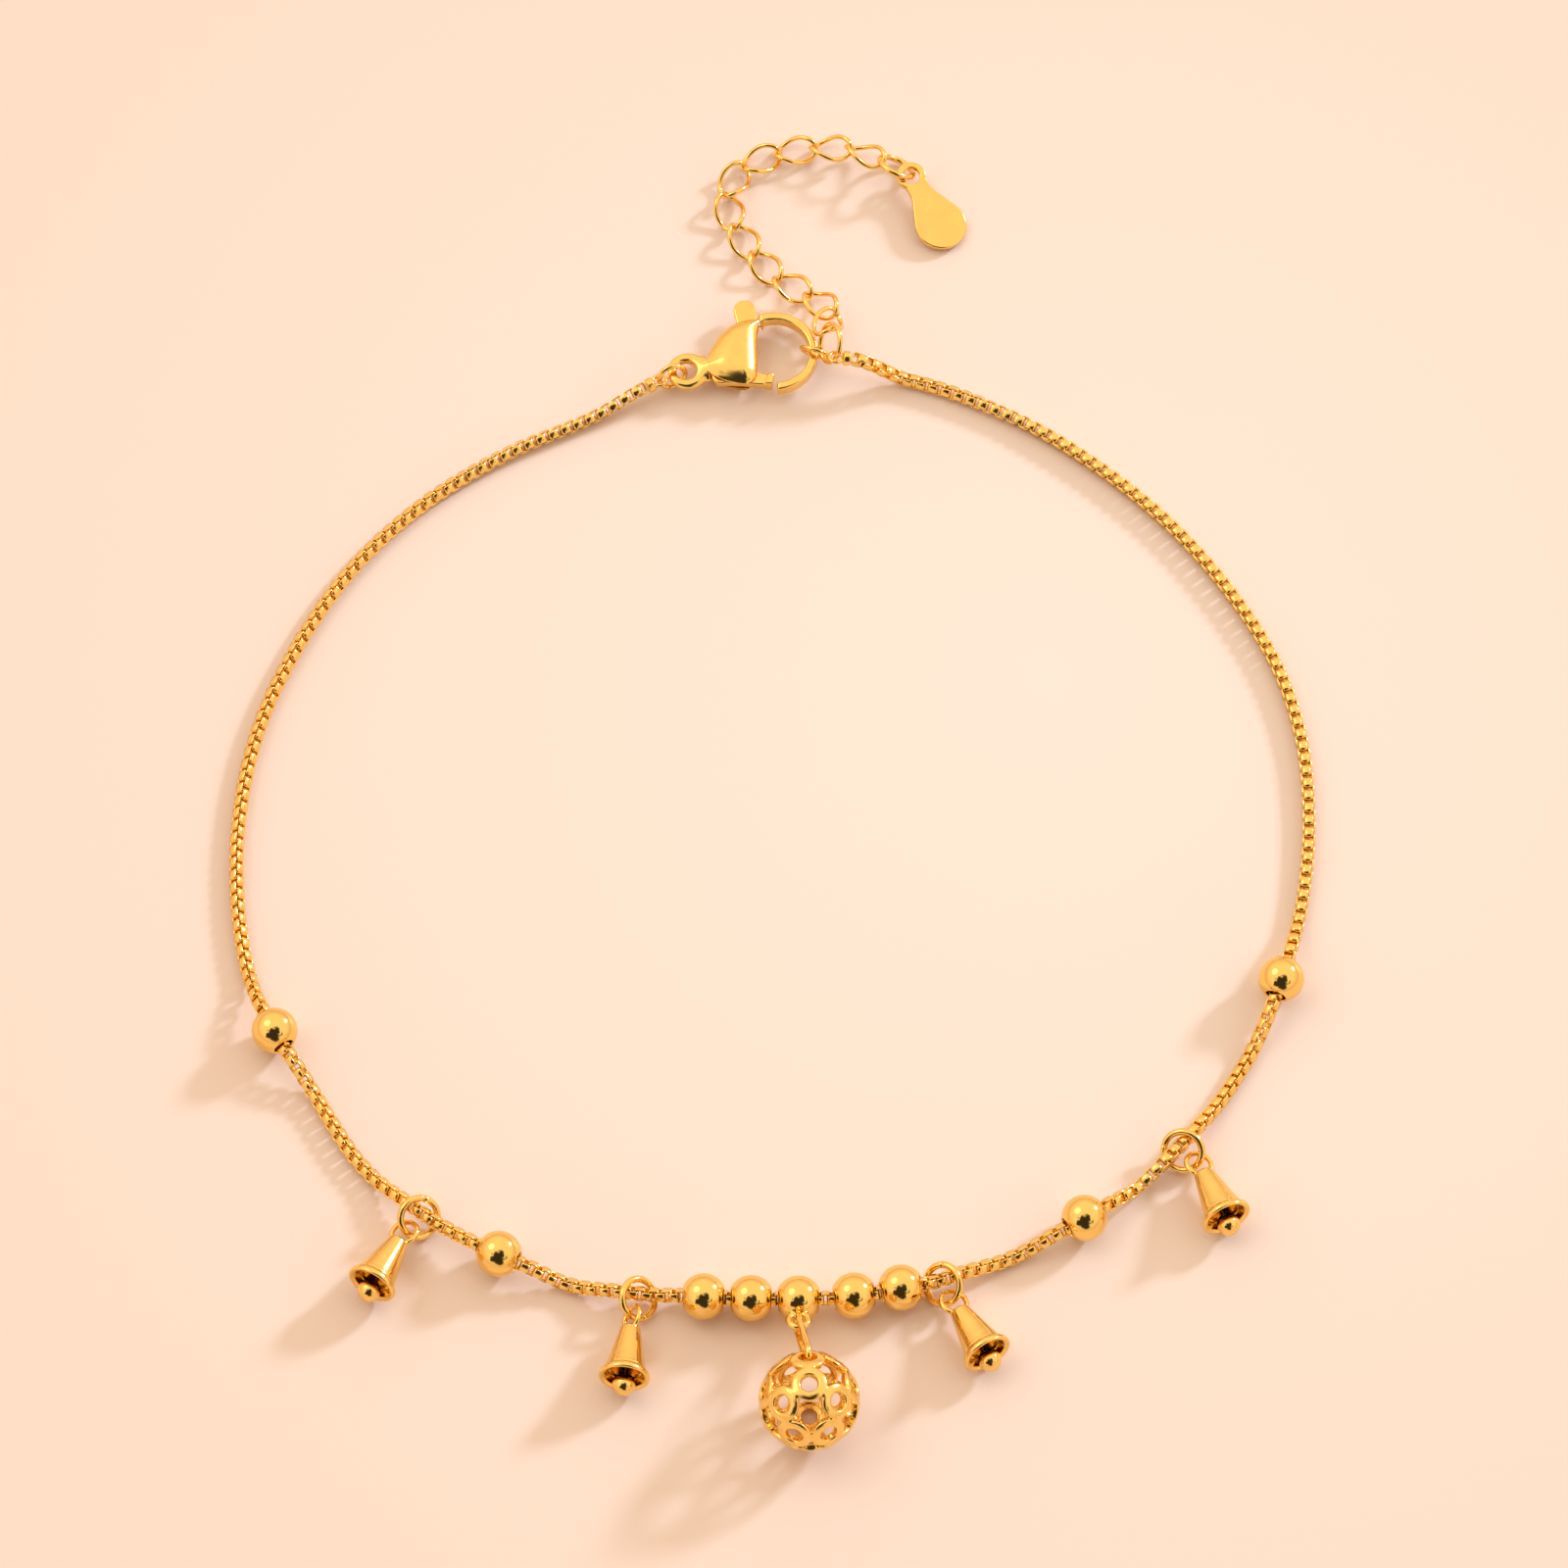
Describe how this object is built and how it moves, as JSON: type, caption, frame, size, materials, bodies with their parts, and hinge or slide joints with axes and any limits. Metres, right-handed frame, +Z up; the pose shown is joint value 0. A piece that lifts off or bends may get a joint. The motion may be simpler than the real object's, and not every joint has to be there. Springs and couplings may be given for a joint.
{
  "type": "charm anklet",
  "caption": "Box-chain anklet lying as a closed loop, with round beads, bell charms, an openwork ball, a lobster clasp and an extension chain with a drop tag.",
  "frame": {"origin": "middle of the anklet's outline on the floor it lies on", "axes": "+Z up, +Y towards the clasp and the extension chain, +X to the right seen from above"},
  "size_m": [0.0708, 0.0956, 0.0063],
  "materials": {
    "gold": "polished"
  },
  "bodies": {
    "anklet": {"clasp_body": "gold", "tail_ring": "gold", "hook_ring": "gold", "joining_ring": "gold", "chain_end_left": "gold", "chain_end_right": "gold", "chain_left": "gold", "chain_right": "gold", "hanger_bead": "gold", "bead_4": "gold", "bead_3": "gold", "bell_ring_2": "gold", "bell_2": "gold", "clapper_2": "gold", "bead_2": "gold", "bell_ring_1": "gold", "bell_1": "gold", "clapper_1": "gold", "bead_1": "gold", "bead_5": "gold", "bead_6": "gold", "bell_ring_3": "gold", "bell_3": "gold", "clapper_3": "gold", "bead_7": "gold", "bell_ring_4": "gold", "bell_4": "gold", "clapper_4": "gold", "bead_8": "gold", "filigree_ball": "gold", "ball_ring": "gold", "extension_link_1": "gold", "extension_link_2": "gold", "extension_link_3": "gold", "extension_link_4": "gold", "extension_link_5": "gold", "extension_link_6": "gold", "extension_link_7": "gold", "extension_link_8": "gold", "extension_link_9": "gold", "extension_link_10": "gold", "extension_link_11": "gold", "end_ring": "gold", "tag": "gold"},
    "lever": {"clasp_lever": "gold"}
  },
  "joints": [
    {"name": "lever_pivot", "type": "hinge", "parent": "anklet", "child": "lever", "pos_m": [-0.00348, 0.02932, 0.00114], "axis": [0, 0, 1], "range_deg": [0, 22], "stiffness_Nm_per_rad": 0.002, "springref_deg": -11.46}
  ]
}
